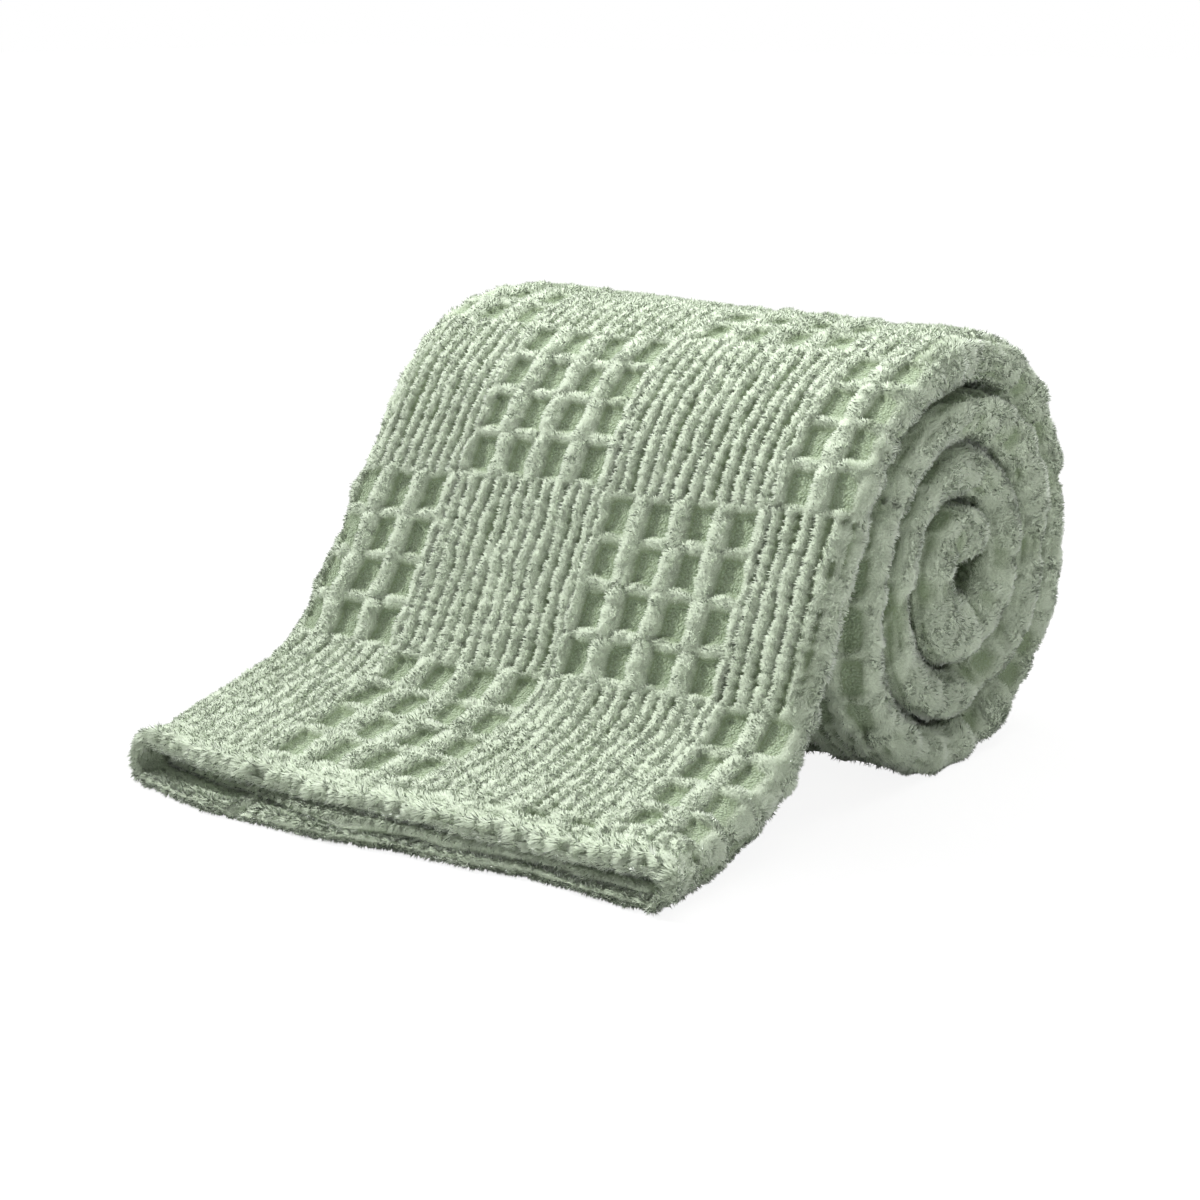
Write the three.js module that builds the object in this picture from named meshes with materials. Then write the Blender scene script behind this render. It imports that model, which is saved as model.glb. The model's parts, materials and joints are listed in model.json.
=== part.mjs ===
// A velvet throw blanket, folded lengthwise into four plies and rolled up,
// with its free hemmed end lying on the surface in front of the roll.
// Units are millimetres. +X runs along the roll, -Y towards the free end and
// +Z up. The origin is on the surface, under the middle of the blanket.

import * as THREE from 'three';

// Driving dimensions
const FOLDED_WIDTH = 316;   // across both rounded side folds
const PLY = 5.8;            // one thickness of cloth with its pile
const PLY_GAP = 1.1;        // between plies lying on each other
const TURN_GAP = 1.6;       // between one turn of the roll and the next
const ROLL_RADIUS = 125;    // outer face at the front, where the winding starts
const LEAVE_ANGLE = 24;     // where the free end leaves the roll, above its front
const END_ANGLE = 1206;     // where the winding stops, near the middle
const FLAT_SPOT = 1;        // how far the roll's weight flattens its underside
const MEETING_X = -74;      // where the two inner folds meet underneath
const MEETING_GAP = 2.4;

const STACK = 4 * PLY + 3 * PLY_GAP;
const PITCH = STACK + TURN_GAP;
const FOLD_RADIUS = STACK / 2;
const ROLL_BOTTOM = ROLL_RADIUS - 0.75 * PITCH;
const AXIS_HEIGHT = ROLL_BOTTOM - FLAT_SPOT;
const AXIS_Y = -7;

// The free end, from the roll down to the hem, as arcs: how long each one is,
// how much flatter it gets, and how many lengths it is cut into. The first
// one is straight, and as long as the drop to the surface needs.
const FREE_END = [
  { length: 38, flatter: 38, cuts: 4 },
  { length: 24, flatter: 8, cuts: 1 },
  { length: 24, flatter: 18, cuts: 2 },
  { length: 38, flatter: 0, cuts: 3 },
];
const STRAIGHT_CUTS = 2;

// The hem, across the width. It lies a little askew, further forward at its far
// end, and the lower plies reach further forward than the top one. The top ply
// sags over them as a lip, least beside the far fold.
const HEM = [
  { across: -150, forward: 15, lower: 3, sag: -1 },
  { across: -95, forward: 13, lower: 11, sag: 3 },
  { across: -40, forward: 8, lower: 12, sag: 5.5 },
  { across: 30, forward: 1, lower: 5, sag: 5.5 },
  { across: 90, forward: -5, lower: 0, sag: 5.5 },
  { across: 150, forward: -8, lower: 2, sag: 3 },
];
const LIP_LENGTH = 29;      // along the free end, until the lip is level
const SETBACK_REACH = 42;   // along the free end, until all plies lie level
const HEM_REACH = 68;       // along the free end, until the hem's ways even out

// How far the second and the third ply's hems lie behind the outer ones, on
// either side of the meeting, which makes the hem an open mouth
const NEAR_SETBACK = { second: 18, third: 5 };
const FAR_SETBACK = { second: 24, third: 18 };

// The top ply stands off behind the hem, and further beside the far fold. The
// distances are from the hem, along the cloth.
const BILLOW = { height: 5, atFar: 5, full: 50, fades: 60, ends: 130 };

// How far the side folds stand out past the folded width, along the cloth:
// turn -1 is the hem, 0 the front of the roll and 3 three turns further in.
const SIDE_FOLDS = [
  { turn: -1, far: 1, near: 4 },
  { turn: -0.7, far: 8, near: 0 },
  { turn: -0.45, far: 7, near: 0 },
  { turn: -0.25, far: 2, near: 0 },
  { turn: 0.1, far: -6, near: 1 },
  { turn: 0.35, far: -8, near: 0 },
  { turn: 0.8, far: -4, near: -2 },
  { turn: 1.3, far: 0, near: 1 },
  { turn: 1.9, far: -5, near: -3 },
  { turn: 2.6, far: -1, near: -1 },
  { turn: 3.5, far: -6, near: -5 },
];

// The roll is fuller at the front of its near end, by a share of the distance
// from its middle, and on top of its far end
const NEAR_FULLNESS = { share: 0.02, behind: -20, front: -110, low: 60, high: 150 };
const FAR_FULLNESS = { rise: 3, starts: 60, full: -160, low: 110, high: 215 };

// The outline's points: on the flat plies, as shares of the way to the side
// fold, and round the folds, as the cuts of their outer and inner faces
const FLAT_SHARES = [0.35, 0.72];
const OUTER_CUTS = 4;
const INNER_CUTS = 3;
const INNER_TURN = 0.85;    // how much of the side fold's bend the inner fold fills

// Steps round the roll, wider where the turns are hidden
const OUTER_STEP = 12;
const INNER_STEP = 24;
const INNER_FROM = 396;

const radians = THREE.MathUtils.degToRad;
const { smoothstep, lerp } = THREE.MathUtils;

// A point of the outer face of the winding, with the way the cloth runs there
function windingAt(degrees) {
  const angle = radians(degrees);
  const radius = ROLL_RADIUS - (PITCH * degrees) / 360;
  const growth = -PITCH / (2 * Math.PI);
  const y = AXIS_Y - radius * Math.cos(angle);
  const z = AXIS_HEIGHT + radius * Math.sin(angle);
  const runY = radius * Math.sin(angle) - growth * Math.cos(angle);
  const runZ = radius * Math.cos(angle) + growth * Math.sin(angle);
  return { y, z, heading: Math.atan2(runZ, runY) };
}

// One arc of the free end, followed from `start` for `distance`
function alongArc(start, distance, bend) {
  const heading = start.heading - bend * distance;
  const middle = (start.heading + heading) / 2;
  const half = (bend * distance) / 2;
  const chord = half === 0 ? distance : (distance * Math.sin(half)) / half;
  const y = start.y - chord * Math.cos(middle);
  const z = start.z - chord * Math.sin(middle);
  return { y, z, heading };
}

// The rows of the free end with their bend, the straight one first
function freeEndArcs() {
  const leave = windingAt(LEAVE_ANGLE);
  const rows = FREE_END.map(({ length, flatter, cuts }) => ({
    length,
    bend: radians(flatter) / length,
    cuts,
  }));
  let point = leave;
  for (const row of rows) {
    point = alongArc(point, row.length, row.bend);
  }
  const straight = (point.z - STACK) / Math.sin(leave.heading);
  return [{ length: straight, bend: 0, cuts: STRAIGHT_CUTS }, ...rows];
}

const ARCS = freeEndArcs();
const FREE_LENGTH = ARCS.reduce((sum, row) => sum + row.length, 0);

// A point of the outer face of the free end, `distance` from the roll
function freeEndAt(distance) {
  let point = windingAt(LEAVE_ANGLE);
  let left = distance;
  for (const row of ARCS) {
    const step = Math.min(left, row.length);
    point = alongArc(point, step, row.bend);
    left -= step;
  }
  return alongArc(point, left, 0);
}

// Stations from the hem up the free end and round the roll
function stations() {
  const list = [];
  let distance = FREE_LENGTH;
  for (const row of [...ARCS].reverse()) {
    for (let cut = 0; cut < row.cuts; cut += 1) {
      list.push({ distance });
      distance -= row.length / row.cuts;
    }
  }
  let angle = LEAVE_ANGLE;
  while (angle < END_ANGLE) {
    list.push({ angle });
    angle += angle < INNER_FROM ? OUTER_STEP : INNER_STEP;
  }
  list.push({ angle: END_ANGLE });
  return list;
}

// A table's column, read between its rows
function readTable(table, key, place, column) {
  let row = 1;
  while (row < table.length - 1 && table[row][key] < place) row += 1;
  const before = table[row - 1];
  const after = table[row];
  const share = (place - before[key]) / (after[key] - before[key]);
  return lerp(before[column], after[column], THREE.MathUtils.clamp(share, 0, 1));
}

// A face of a side fold, from the top ply round to the bottom one
function sideArc(radius, cuts) {
  const points = [];
  for (let cut = 0; cut <= cuts; cut += 1) {
    const angle = radians(lerp(90, -90, cut / cuts));
    const depth = FOLD_RADIUS - radius * Math.sin(angle);
    points.push({ fold: 1, past: radius * Math.cos(angle), depth, upper: Math.sin(angle) });
  }
  return points;
}

// Half of the folded cloth's outline seen along its length, from the middle
// of its outer face round the side fold to the innermost ply's edge and back
// along its other face. The plies are one cloth: top, side fold, bottom, fold
// at the meeting, third ply, inner side fold, second ply.
// A point lies at a share of the way to the side fold, and so far past that.
// `upper` is 1 on the top ply, `behind` is how far its hem lies behind, and
// `lower` is 1 where it follows the lower plies forward.
function halfOutline(meeting, setback) {
  const plyStep = PLY + PLY_GAP;
  const edge = meeting + MEETING_GAP / 2;
  const turnBack = edge + PLY + PLY_GAP / 2;
  const innerReach = (FOLD_RADIUS - PLY) * INNER_TURN - PLY_GAP;
  const second = { behind: setback.second, lower: 0 };
  const third = { behind: setback.third, lower: 1 };
  const outerFace = [
    ...FLAT_SHARES.map((fold) => ({ fold, upper: 1 })),
    ...sideArc(FOLD_RADIUS, OUTER_CUTS),
    { past: turnBack, depth: STACK, lower: 1 },
    { past: edge, depth: STACK - plyStep, ...third },
    { past: turnBack, depth: STACK - plyStep - PLY, ...third },
    { fold: 1, depth: STACK - plyStep - PLY, ...third },
    { fold: 1, depth: plyStep + PLY, ...second },
    { past: edge, depth: plyStep + PLY, ...second },
  ];
  const innerFace = [
    ...FLAT_SHARES.map((fold) => ({ fold, depth: PLY, upper: 1 })),
    ...sideArc(FOLD_RADIUS - PLY, INNER_CUTS),
    { past: turnBack, depth: STACK - PLY, lower: 1 },
    { past: turnBack, depth: STACK - plyStep, ...third },
    { fold: 1, depth: STACK - plyStep, ...third },
    { fold: 1, past: innerReach, depth: STACK / 2, ...second },
    { fold: 1, depth: plyStep, ...second },
    { past: edge, depth: plyStep, ...second },
  ];
  const nothing = { fold: 0, past: 0, depth: 0, upper: 0, behind: 0 };
  const complete = (point) => ({ ...nothing, lower: (1 - (point.upper ?? 0)) / 2, ...point });
  return { outerFace: outerFace.map(complete), innerFace: innerFace.map(complete) };
}

const NEAR_HALF = halfOutline(MEETING_X, NEAR_SETBACK);
const FAR_HALF = halfOutline(-MEETING_X, FAR_SETBACK);

// The whole outline as one ring: the near half's outer face and back along its
// inner face, then the far half's inner face and back along its outer face
function ringPoints() {
  const middle = { fold: 0, past: 0, depth: 0, upper: 1, behind: 0, lower: 0 };
  const side = (points, sign) => points.map((point) => ({ ...point, side: sign }));
  return [
    { ...middle, side: 1 },
    ...side(NEAR_HALF.outerFace, 1),
    ...side(NEAR_HALF.innerFace, 1).reverse(),
    { ...middle, depth: PLY, side: 1 },
    ...side(FAR_HALF.innerFace, -1),
    ...side(FAR_HALF.outerFace, -1).reverse(),
  ];
}

function billow(across, fromHem) {
  const { height, atFar, full, fades, ends } = BILLOW;
  const along = smoothstep(fromHem, 0, full) * (1 - smoothstep(fromHem, fades, ends));
  return along * (height + atFar * (1 - smoothstep(across, -FOLDED_WIDTH / 2, 0)));
}

function fullness({ x, y, z }) {
  const near = NEAR_FULLNESS;
  const far = FAR_FULLNESS;
  const front = smoothstep(-y, -near.behind, -near.front) * smoothstep(z, near.low, near.high);
  const top = smoothstep(-x, -far.starts, -far.full) * smoothstep(z, far.low, far.high);
  return new THREE.Vector3(x, y - near.share * x * front, z + far.rise * top);
}

// How far across an outline point lies, at that many turns from the leaving point
function acrossAt(point, turn) {
  const standsOut = readTable(SIDE_FOLDS, 'turn', turn, point.side > 0 ? 'near' : 'far');
  const foldX = FOLDED_WIDTH / 2 - FOLD_RADIUS + standsOut;
  return point.side * (point.fold * foldX + point.past);
}

// A point of the outline at a station
function placePoint(station, point) {
  let at;
  let sag = 0;
  let across;
  if (station.distance === undefined) {
    at = windingAt(station.angle);
    across = acrossAt(point, station.angle / 360);
  } else {
    const fromHem = FREE_LENGTH - station.distance;
    const share = 1 - smoothstep(fromHem, 0, HEM_REACH);
    const nominal = acrossAt(point, -station.distance / FREE_LENGTH);
    const forward = readTable(HEM, 'across', nominal, 'forward');
    const lower = readTable(HEM, 'across', nominal, 'lower') * point.lower;
    const behind = point.behind * (1 - smoothstep(fromHem, 0, SETBACK_REACH));
    const distance = station.distance + (forward + lower) * share - behind;
    const lip = 1 - smoothstep(fromHem, 0, LIP_LENGTH);
    at = freeEndAt(distance);
    across = acrossAt(point, -distance / FREE_LENGTH);
    sag = readTable(HEM, 'across', nominal, 'sag') * lip - billow(nominal, fromHem);
  }
  const depth = point.depth + sag * Math.max(0, point.upper);
  const y = at.y + depth * Math.sin(at.heading);
  const z = Math.max(0, at.z - depth * Math.cos(at.heading));
  return fullness(new THREE.Vector3(across, y, z));
}

// Two rows of points zipped into a strip of triangles, by the shorter diagonal
function zip(first, second, points) {
  const faces = [];
  const far = (a, b) => points[first[a]].distanceTo(points[second[b]]);
  let a = 0;
  let b = 0;
  while (a < first.length - 1 || b < second.length - 1) {
    const firstEnds = a === first.length - 1;
    const secondEnds = b === second.length - 1;
    if (secondEnds || (!firstEnds && far(a + 1, b) < far(a, b + 1))) {
      faces.push([first[a], first[a + 1], second[b]]);
      a += 1;
    } else {
      faces.push([first[a], second[b + 1], second[b]]);
      b += 1;
    }
  }
  return faces;
}

// The cut end of the cloth, as the numbers of its ring's points
function endFaces(points) {
  const outer = NEAR_HALF.outerFace.length;
  const inner = NEAR_HALF.innerFace.length;
  const middle = outer + inner + 1;
  const count = points.length;
  const nearOuter = [...Array(outer + 1).keys()];
  const nearInner = [...Array(inner + 1).keys()].map((k) => middle - k);
  const farInner = [...Array(inner + 1).keys()].map((k) => middle + k);
  const farOuter = [0, ...[...Array(outer).keys()].map((k) => count - 1 - k)];
  return [...zip(nearOuter, nearInner, points), ...zip(farInner, farOuter, points)];
}

function blanketGeometry() {
  const outline = ringPoints();
  const rings = stations().map((station) => outline.map((point) => placePoint(station, point)));
  const count = outline.length;
  const indices = [];
  for (let ring = 0; ring < rings.length - 1; ring += 1) {
    for (let k = 0; k < count; k += 1) {
      const a = ring * count + k;
      const b = ring * count + ((k + 1) % count);
      indices.push(a, b, b + count, a, b + count, a + count);
    }
  }
  for (const [a, b, c] of endFaces(rings[0])) {
    indices.push(a, c, b);
  }
  const last = (rings.length - 1) * count;
  for (const [a, b, c] of endFaces(rings[rings.length - 1])) {
    indices.push(last + a, last + b, last + c);
  }
  const positions = rings.flat().flatMap((point) => point.toArray());
  const geometry = new THREE.BufferGeometry();
  geometry.setAttribute('position', new THREE.Float32BufferAttribute(positions, 3));
  geometry.setIndex(indices);
  geometry.computeVertexNormals();
  return geometry;
}

const velvet = new THREE.MeshStandardMaterial({
  color: '#a9b79d',
  roughness: 0.95,
  metalness: 0,
});

const geometry = blanketGeometry();
geometry.computeBoundingBox();
const middle = geometry.boundingBox.getCenter(new THREE.Vector3());
geometry.translate(-middle.x, -middle.y, 0);

const throwBlanket = new THREE.Mesh(geometry, velvet);
throwBlanket.name = 'throw_blanket';

const object = new THREE.Group();
object.add(throwBlanket);

export default object;
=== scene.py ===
import json
import math
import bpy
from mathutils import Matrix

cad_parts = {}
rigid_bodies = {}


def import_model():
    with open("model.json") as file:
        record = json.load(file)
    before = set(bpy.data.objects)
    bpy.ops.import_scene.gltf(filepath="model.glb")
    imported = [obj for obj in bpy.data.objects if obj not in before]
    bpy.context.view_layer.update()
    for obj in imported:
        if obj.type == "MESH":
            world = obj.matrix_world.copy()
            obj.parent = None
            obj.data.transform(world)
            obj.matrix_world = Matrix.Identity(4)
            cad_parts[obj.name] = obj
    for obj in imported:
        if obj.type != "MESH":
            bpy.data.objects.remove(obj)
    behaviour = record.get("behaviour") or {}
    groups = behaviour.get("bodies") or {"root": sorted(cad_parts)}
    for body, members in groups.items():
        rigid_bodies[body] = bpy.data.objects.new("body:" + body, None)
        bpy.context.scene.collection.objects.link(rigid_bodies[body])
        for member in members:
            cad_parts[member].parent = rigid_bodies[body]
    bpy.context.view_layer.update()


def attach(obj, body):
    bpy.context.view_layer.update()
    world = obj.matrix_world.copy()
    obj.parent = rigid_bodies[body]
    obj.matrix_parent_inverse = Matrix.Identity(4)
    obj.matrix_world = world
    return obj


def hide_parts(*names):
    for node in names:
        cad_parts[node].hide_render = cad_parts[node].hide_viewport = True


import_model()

from types import SimpleNamespace

import bpy
import numpy as np
from bpy.props import FloatProperty, FloatVectorProperty, IntProperty, PointerProperty
from mathutils import Matrix, Vector

# A velvet throw blanket, folded lengthwise into four plies and rolled up, with its free
# hemmed end lying in front of the roll. +X runs along the roll to its near end, -Y
# towards the hem and +Z up, in metres. The cloth is one closed sheet on the solid's folds,
# with its woven blocks in relief, and its cut pile stands on it as short strands.

bl_info = {
    "name": "Rolled throw blanket",
    "version": (1, 0, 0),
    "blender": (4, 5, 0),
    "location": "View3D > Sidebar > Throw",
    "description": "A folded and rolled velvet throw blanket on a plain stage",
    "category": "Object",
}

MM = 0.001
NODE = "throw_blanket"
ROLL_AXIS = -7  # millimetres, before the blanket is brought over its middle


def table(columns, *rows):
    """A short table as arrays by column."""
    return dict(zip(columns.split(), np.array(rows, float).T))


# The free end, from the roll down to the hem, after its straight part: the length of each
# arc in millimetres, and how many degrees flatter it gets
FREE_END = ((38, 38), (24, 8), (24, 18), (38, 0))

# The hem by the place across it: how far forward it lies, how much further the lower
# plies reach, and how far its upper lip sags, in millimetres
HEM = table(
    "across forward lower sag",
    (-150, 15, 3, -1),
    (-95, 13, 11, 3),
    (-40, 8, 12, 5.5),
    (30, 1, 5, 5.5),
    (90, -5, 0, 5.5),
    (150, -8, 2, 3),
)

# How far the side folds stand out past the folded width, in millimetres, by turns round
# the roll, from the hem at -1
SIDE_FOLDS = table(
    "turn far near",
    (-1, -1, 4), (-0.7, 8, 0), (-0.45, 7, 0), (-0.25, 2, 0), (0.1, -6, 1), (0.22, -7, -1),
    (0.35, -8, -5), (0.5, -6, -3), (0.8, -4, -2), (1.3, 0, 1), (1.9, -5, -3), (2.6, -1, -1),
    (3.5, -6, -5),
)

# Along the cloth from the hem, in millimetres: where the pile's pieces meet low on the
# roll's front, how far the cloth is seen, and from where it is turned away underneath
PIECES_MEET = 205
SHOWN = 440
TURNED_AWAY = 920

# The pieces of pile: how many strands each has, how many times the usual length they are,
# how far their clumps swirl, and how wide the hem's tufts are, in millimetres
PILE = {
    "pile_free_end": (98000, 0.75, 0.35, 0),
    "pile_roll_front": (98000, 0.75, 0.35, 0),
    "pile_near_end": (92000, 0.9, 1.3, 0),
    "pile_far_end": (20000, 0.8, 1.0, 0),
    "pile_back": (34000, 1.0, 0.35, 0),
    "pile_hem": (56000, 1.3, 0.8, 7.2),
}

# The lamps: which way each one lies, how strong it is and how many degrees wide
LAMPS = {
    "key": ((-0.74, -0.18, 0.65), 3.2, 5),
    "back": ((0.10, 0.80, 0.80), 0.8, 40),
    "fill": ((0.80, -0.30, 0.50), 0.42, 90),
}

# The soft lamp close over the roll, so that its top is the brightest: where it hangs, what
# it is aimed at, its power and its size
SOFTBOX = ((0.0, 0.22, 0.72), (0.0, 0.08, 0.20), 4.2, 0.6)

# The camera: where it stands, and how it is turned, tipped and rolled, in degrees
CAMERA_PLACE = (0.7028, -0.9048, 0.3809)
CAMERA_TURNS = ((38.19, "Z"), (90 - 14.78, "X"), (-0.04, "Z"))

# How much of the floor's white is its own, and how much light the room gives
FLOOR_GLOW = 0.85
ROOM_LIGHT = 0.15
WHITE = (1, 1, 1)

# The relief's heights at which the pile is shortest and tallest, and its painted shade deepest and
# gone
CREST_FOOT = -3.6 * MM
CREST_TOP = -0.6 * MM

# How low the cloth and its pile come over the surface that they lie on, in metres
LOWEST = 0.0004
LOWEST_STRAND = 0.0003

# How many cuts the ring's parts take: round a side fold, and on its back, along the
# hidden plies, and on the backs of the top and second plies
FOLD_CUTS = 12
FOLD_BACK_CUTS = 6
PLY_CUTS = 6
TOP_BACK_CUTS = 10
SECOND_BACK_CUTS = 8
BOTTOM_CUT = 9         # millimetres, along the bottom ply
TOP_CUTS = 72          # in the width of a block of the top ply
INNER_TURN = 0.85      # how much of a side fold's bend the fold inside it fills


# --- sizes and colours


def kind_of(maker, scale=1, **settings):
    """Makes properties of one kind, whose defaults are given in the scale's unit."""

    def make(name, description, default):
        return maker(name=name, description=description, default=default * scale, **settings)

    return make


length = kind_of(FloatProperty, MM, min=0, subtype="DISTANCE", unit="LENGTH", precision=4)
angle = kind_of(FloatProperty, math.radians(1), subtype="ANGLE", unit="ROTATION")
share = kind_of(FloatProperty, min=0, max=1, subtype="FACTOR")
times = kind_of(FloatProperty, min=0)
whole = kind_of(IntProperty, min=1)
colour = kind_of(FloatVectorProperty, size=3, min=0, max=1, subtype="COLOR")


class ThrowFolds(bpy.types.PropertyGroup):
    """How the cloth is folded and rolled"""

    width: length("Folded width", "Across both side folds", 316)
    ply: length("Ply", "One thickness of cloth", 5.8)
    ply_gap: length("Gap between plies", "Between two plies", 1.1)
    turn_gap: length("Gap between turns", "Between the turns of the roll", 1.6)
    roll_radius: length("Roll radius", "Of its outer face, where the winding starts", 125)
    leave: angle("Leaving angle", "Where the free end leaves the roll", 24)
    end: angle("End angle", "Where the winding stops", 1206)
    flat_spot: length("Flat spot", "How much flatter its underside is", 1)
    meeting: length("Meeting", "How far towards the far side the inner folds meet", 74)
    meeting_gap: length("Meeting gap", "Between the two inner folds", 0.5)
    meeting_round: length("Meeting rounding", "Of the inner folds' edges", 1.8)
    meeting_back: length("Meeting setback", "How much further back the hem lies there", 13)
    meeting_ends: length("Meeting end", "From the middle, where that ends", 10)
    lip: length("Lip", "Along the cloth, until it is level", 29)
    near_second: length("Second ply, near", "Its hem behind the outer ones", 18)
    near_third: length("Third ply, near", "Its hem behind the outer ones", 3)
    far_second: length("Second ply, far", "The same, past the meeting", 24)
    far_third: length("Third ply, far", "The same, past the meeting", 18)
    setback_reach: length("Setback reach", "Along the cloth, until all plies lie level", 42)
    reach: length("Hem reach", "Along the cloth, until the hem's ways even out", 68)
    near_fullness: share("Near fullness", "Of the roll's front, by the way from its middle", 0.02)
    far_fullness: length("Far fullness", "How far the roll's far top rises", 3)
    nose: length("Nose", "How far the inner end bulges on", 14)
    filling: length("Filling", "How far the cloth round it fills out", 8)
    low_front: length("Low front", "How far the near end sags forward and down", 5)
    puff: length("Hem puff", "How much thicker each face of the hem is", 2.2)
    puff_length: length("Hem puff length", "Along the cloth, until it is level", 13)
    billow: length("Billow", "How far the top ply stands off behind it", 5)
    far_billow: length("Far billow", "And how much further beside the far fold", 5)


class ThrowRelief(bpy.types.PropertyGroup):
    """The woven blocks of ribs and of sunken squares"""

    block_width: length("Block width", "Across the cloth", 98)
    block_length: length("Block length", "Along the cloth", 96.3)
    across: length("Block edge across", "From the cloth's middle to a block edge", 13)
    along: length("Block edge along", "From the hem to a block edge", 18)
    skew: share("Skew", "Of the block edges, against the hem", 0.045)
    ribs: whole("Ribs", "In the width of a block", 12)
    squares: whole("Squares", "Each way in a block", 4)
    square_width: length("Square width", "Across the cloth", 11.4)
    square_length: length("Square length", "Along the cloth", 15.5)
    square_depth: length("Square depth", "How deep they are sunk", 4.4)
    ridge_round: length("Ridge rounding", "How far the ridges round off", 3.3)
    rib_depth: length("Rib depth", "The furrows between the ribs", 3.9)
    bead: length("Bead length", "The clumps along a rib", 6.4)
    knot_depth: length("Bead depth", "The nicks between a rib's clumps", 2)


class ThrowPile(bpy.types.PropertyGroup):
    """The cut pile"""

    tall: length("Tall pile", "On ridges, ribs and folds", 2.6)
    short: length("Short pile", "In the sunken squares", 0.8)
    width: length("Strand width", "At its root", 0.7)
    lean: share("Lean", "How far the pile leans over", 0.9)
    amount: times("Amount", "Times the usual number of strands", 1)


class ThrowColours(bpy.types.PropertyGroup):
    """The dyes, the pile's painted light and shade, and the stage"""

    # The tips' and the roots' colours are one green, as painted light and painted shade
    tip: colour("Pile tips", "Where the pile catches the light", (0.82, 0.92, 0.735))
    root: colour("Pile roots", "Deep in the pile", (0.30, 0.38, 0.23))
    ground: colour("Ground", "The sunken squares' weave", (0.46, 0.57, 0.385))
    floor: colour("Floor", "The pale stage floor", (0.9, 0.9, 0.9))


class ThrowSettings(bpy.types.PropertyGroup):
    """Everything that the panel shows"""

    folds: PointerProperty(type=ThrowFolds)
    relief: PointerProperty(type=ThrowRelief)
    pile: PointerProperty(type=ThrowPile)
    colours: PointerProperty(type=ThrowColours)


# --- the cloth's path


def smooth(x, low, high):
    t = np.clip((x - low) / (high - low), 0, 1)
    return t * t * (3 - 2 * t)


def ease(x, low, high):
    """From 0 at low to 1 at high, both in millimetres."""
    return smooth(x, low * MM, high * MM)


def read_table(rows, place, column):
    """A table's column in metres, eased between its rows, by its first column."""
    key, values = next(iter(rows.values())), rows[column]
    row = np.clip(np.searchsorted(key, place) - 1, 0, len(key) - 2)
    t = smooth(place, key[row], key[row + 1])
    return (values[row] * (1 - t) + values[row + 1] * t) * MM


def noise(x, y, seed, cells=128):
    """Smooth noise from -1 to 1 with lumps one unit across, its own for each seed."""
    grid = np.random.default_rng(seed).uniform(-1, 1, (cells, cells))
    x, y = np.broadcast_arrays(np.asarray(x, float), np.asarray(y, float))
    i, j = np.floor(x).astype(int), np.floor(y).astype(int)
    s, t = smooth(x - i, 0, 1), smooth(y - j, 0, 1)

    def corner(right, up):
        return grid[(i + right) % cells, (j + up) % cells]

    low = corner(0, 0) * (1 - s) + corner(1, 0) * s
    high = corner(0, 1) * (1 - s) + corner(1, 1) * s
    return low * (1 - t) + high * t


def lumps(u, v, wide, long, seed):
    """Noise on the cloth, with lumps so many millimetres wide and long."""
    return noise(u / (wide * MM), v / (long * MM), seed)


def cloth_path(folds):
    """The sizes that follow from the folds, and the winding's length by its angle."""
    path = SimpleNamespace(folds=folds)
    path.stack = 4 * folds.ply + 3 * folds.ply_gap
    path.pitch = path.stack + folds.turn_gap
    path.fold_radius = path.stack / 2
    path.axis_y = ROLL_AXIS * MM
    path.axis_z = folds.roll_radius - 0.75 * path.pitch - folds.flat_spot
    path.flat_edge = folds.width / 2 - path.fold_radius
    path.angles = np.radians(np.arange(math.degrees(folds.leave), math.degrees(folds.end) + 4))
    radius = folds.roll_radius - path.pitch * path.angles / (2 * math.pi)
    speed = np.hypot(radius, path.pitch / (2 * math.pi))
    steps = (speed[1:] + speed[:-1]) / 2 * np.diff(path.angles)
    path.wound = np.concatenate([[0], np.cumsum(steps)])
    start = winding_at(path, np.array(folds.leave))
    point = start
    for arc, flatter in FREE_END:
        point = along_arc(point, arc * MM, math.radians(flatter) / (arc * MM))
    straight = (point[1] - path.stack) / math.sin(start[2])
    path.arcs = [(straight, 0.0)] + [(a * MM, math.radians(f) / (a * MM)) for a, f in FREE_END]
    path.free = float(sum(arc for arc, _ in path.arcs))
    path.total = path.free + float(np.interp(folds.end, path.angles, path.wound))
    return path


def winding_at(path, turned):
    """The outer face of the winding, with the way the cloth runs there."""
    radius = path.folds.roll_radius - path.pitch * turned / (2 * math.pi)
    growth = -path.pitch / (2 * math.pi)
    y = path.axis_y - radius * np.cos(turned)
    z = path.axis_z + radius * np.sin(turned)
    run_y = radius * np.sin(turned) - growth * np.cos(turned)
    run_z = radius * np.cos(turned) + growth * np.sin(turned)
    return y, z, np.arctan2(run_z, run_y)


def along_arc(start, distance, bend):
    """One arc of the free end, followed from start for a distance."""
    y, z, heading = start
    onward = heading - bend * distance
    middle = (heading + onward) / 2
    chord = distance * np.sinc(bend * distance / 2 / math.pi)
    return y - chord * np.cos(middle), z - chord * np.sin(middle), onward


def free_end_at(path, distance):
    """The outer face of the free end, that far from the roll."""
    point = tuple(np.full_like(distance, value) for value in winding_at(path, path.folds.leave))
    left = distance
    for arc, bend in path.arcs:
        step = np.minimum(left, arc)
        point = along_arc(point, step, bend)
        left = left - step
    return along_arc(point, left, 0.0)


def across_at(path, ring, turn):
    """How far across the ring's points lie, by turns round the roll."""
    near, far = (read_table(SIDE_FOLDS, turn, column) for column in ("near", "far"))
    stands_out = np.where(ring.side > 0, near, far)
    return ring.side * (ring.fold * (path.flat_edge + stands_out) + ring.past)


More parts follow.
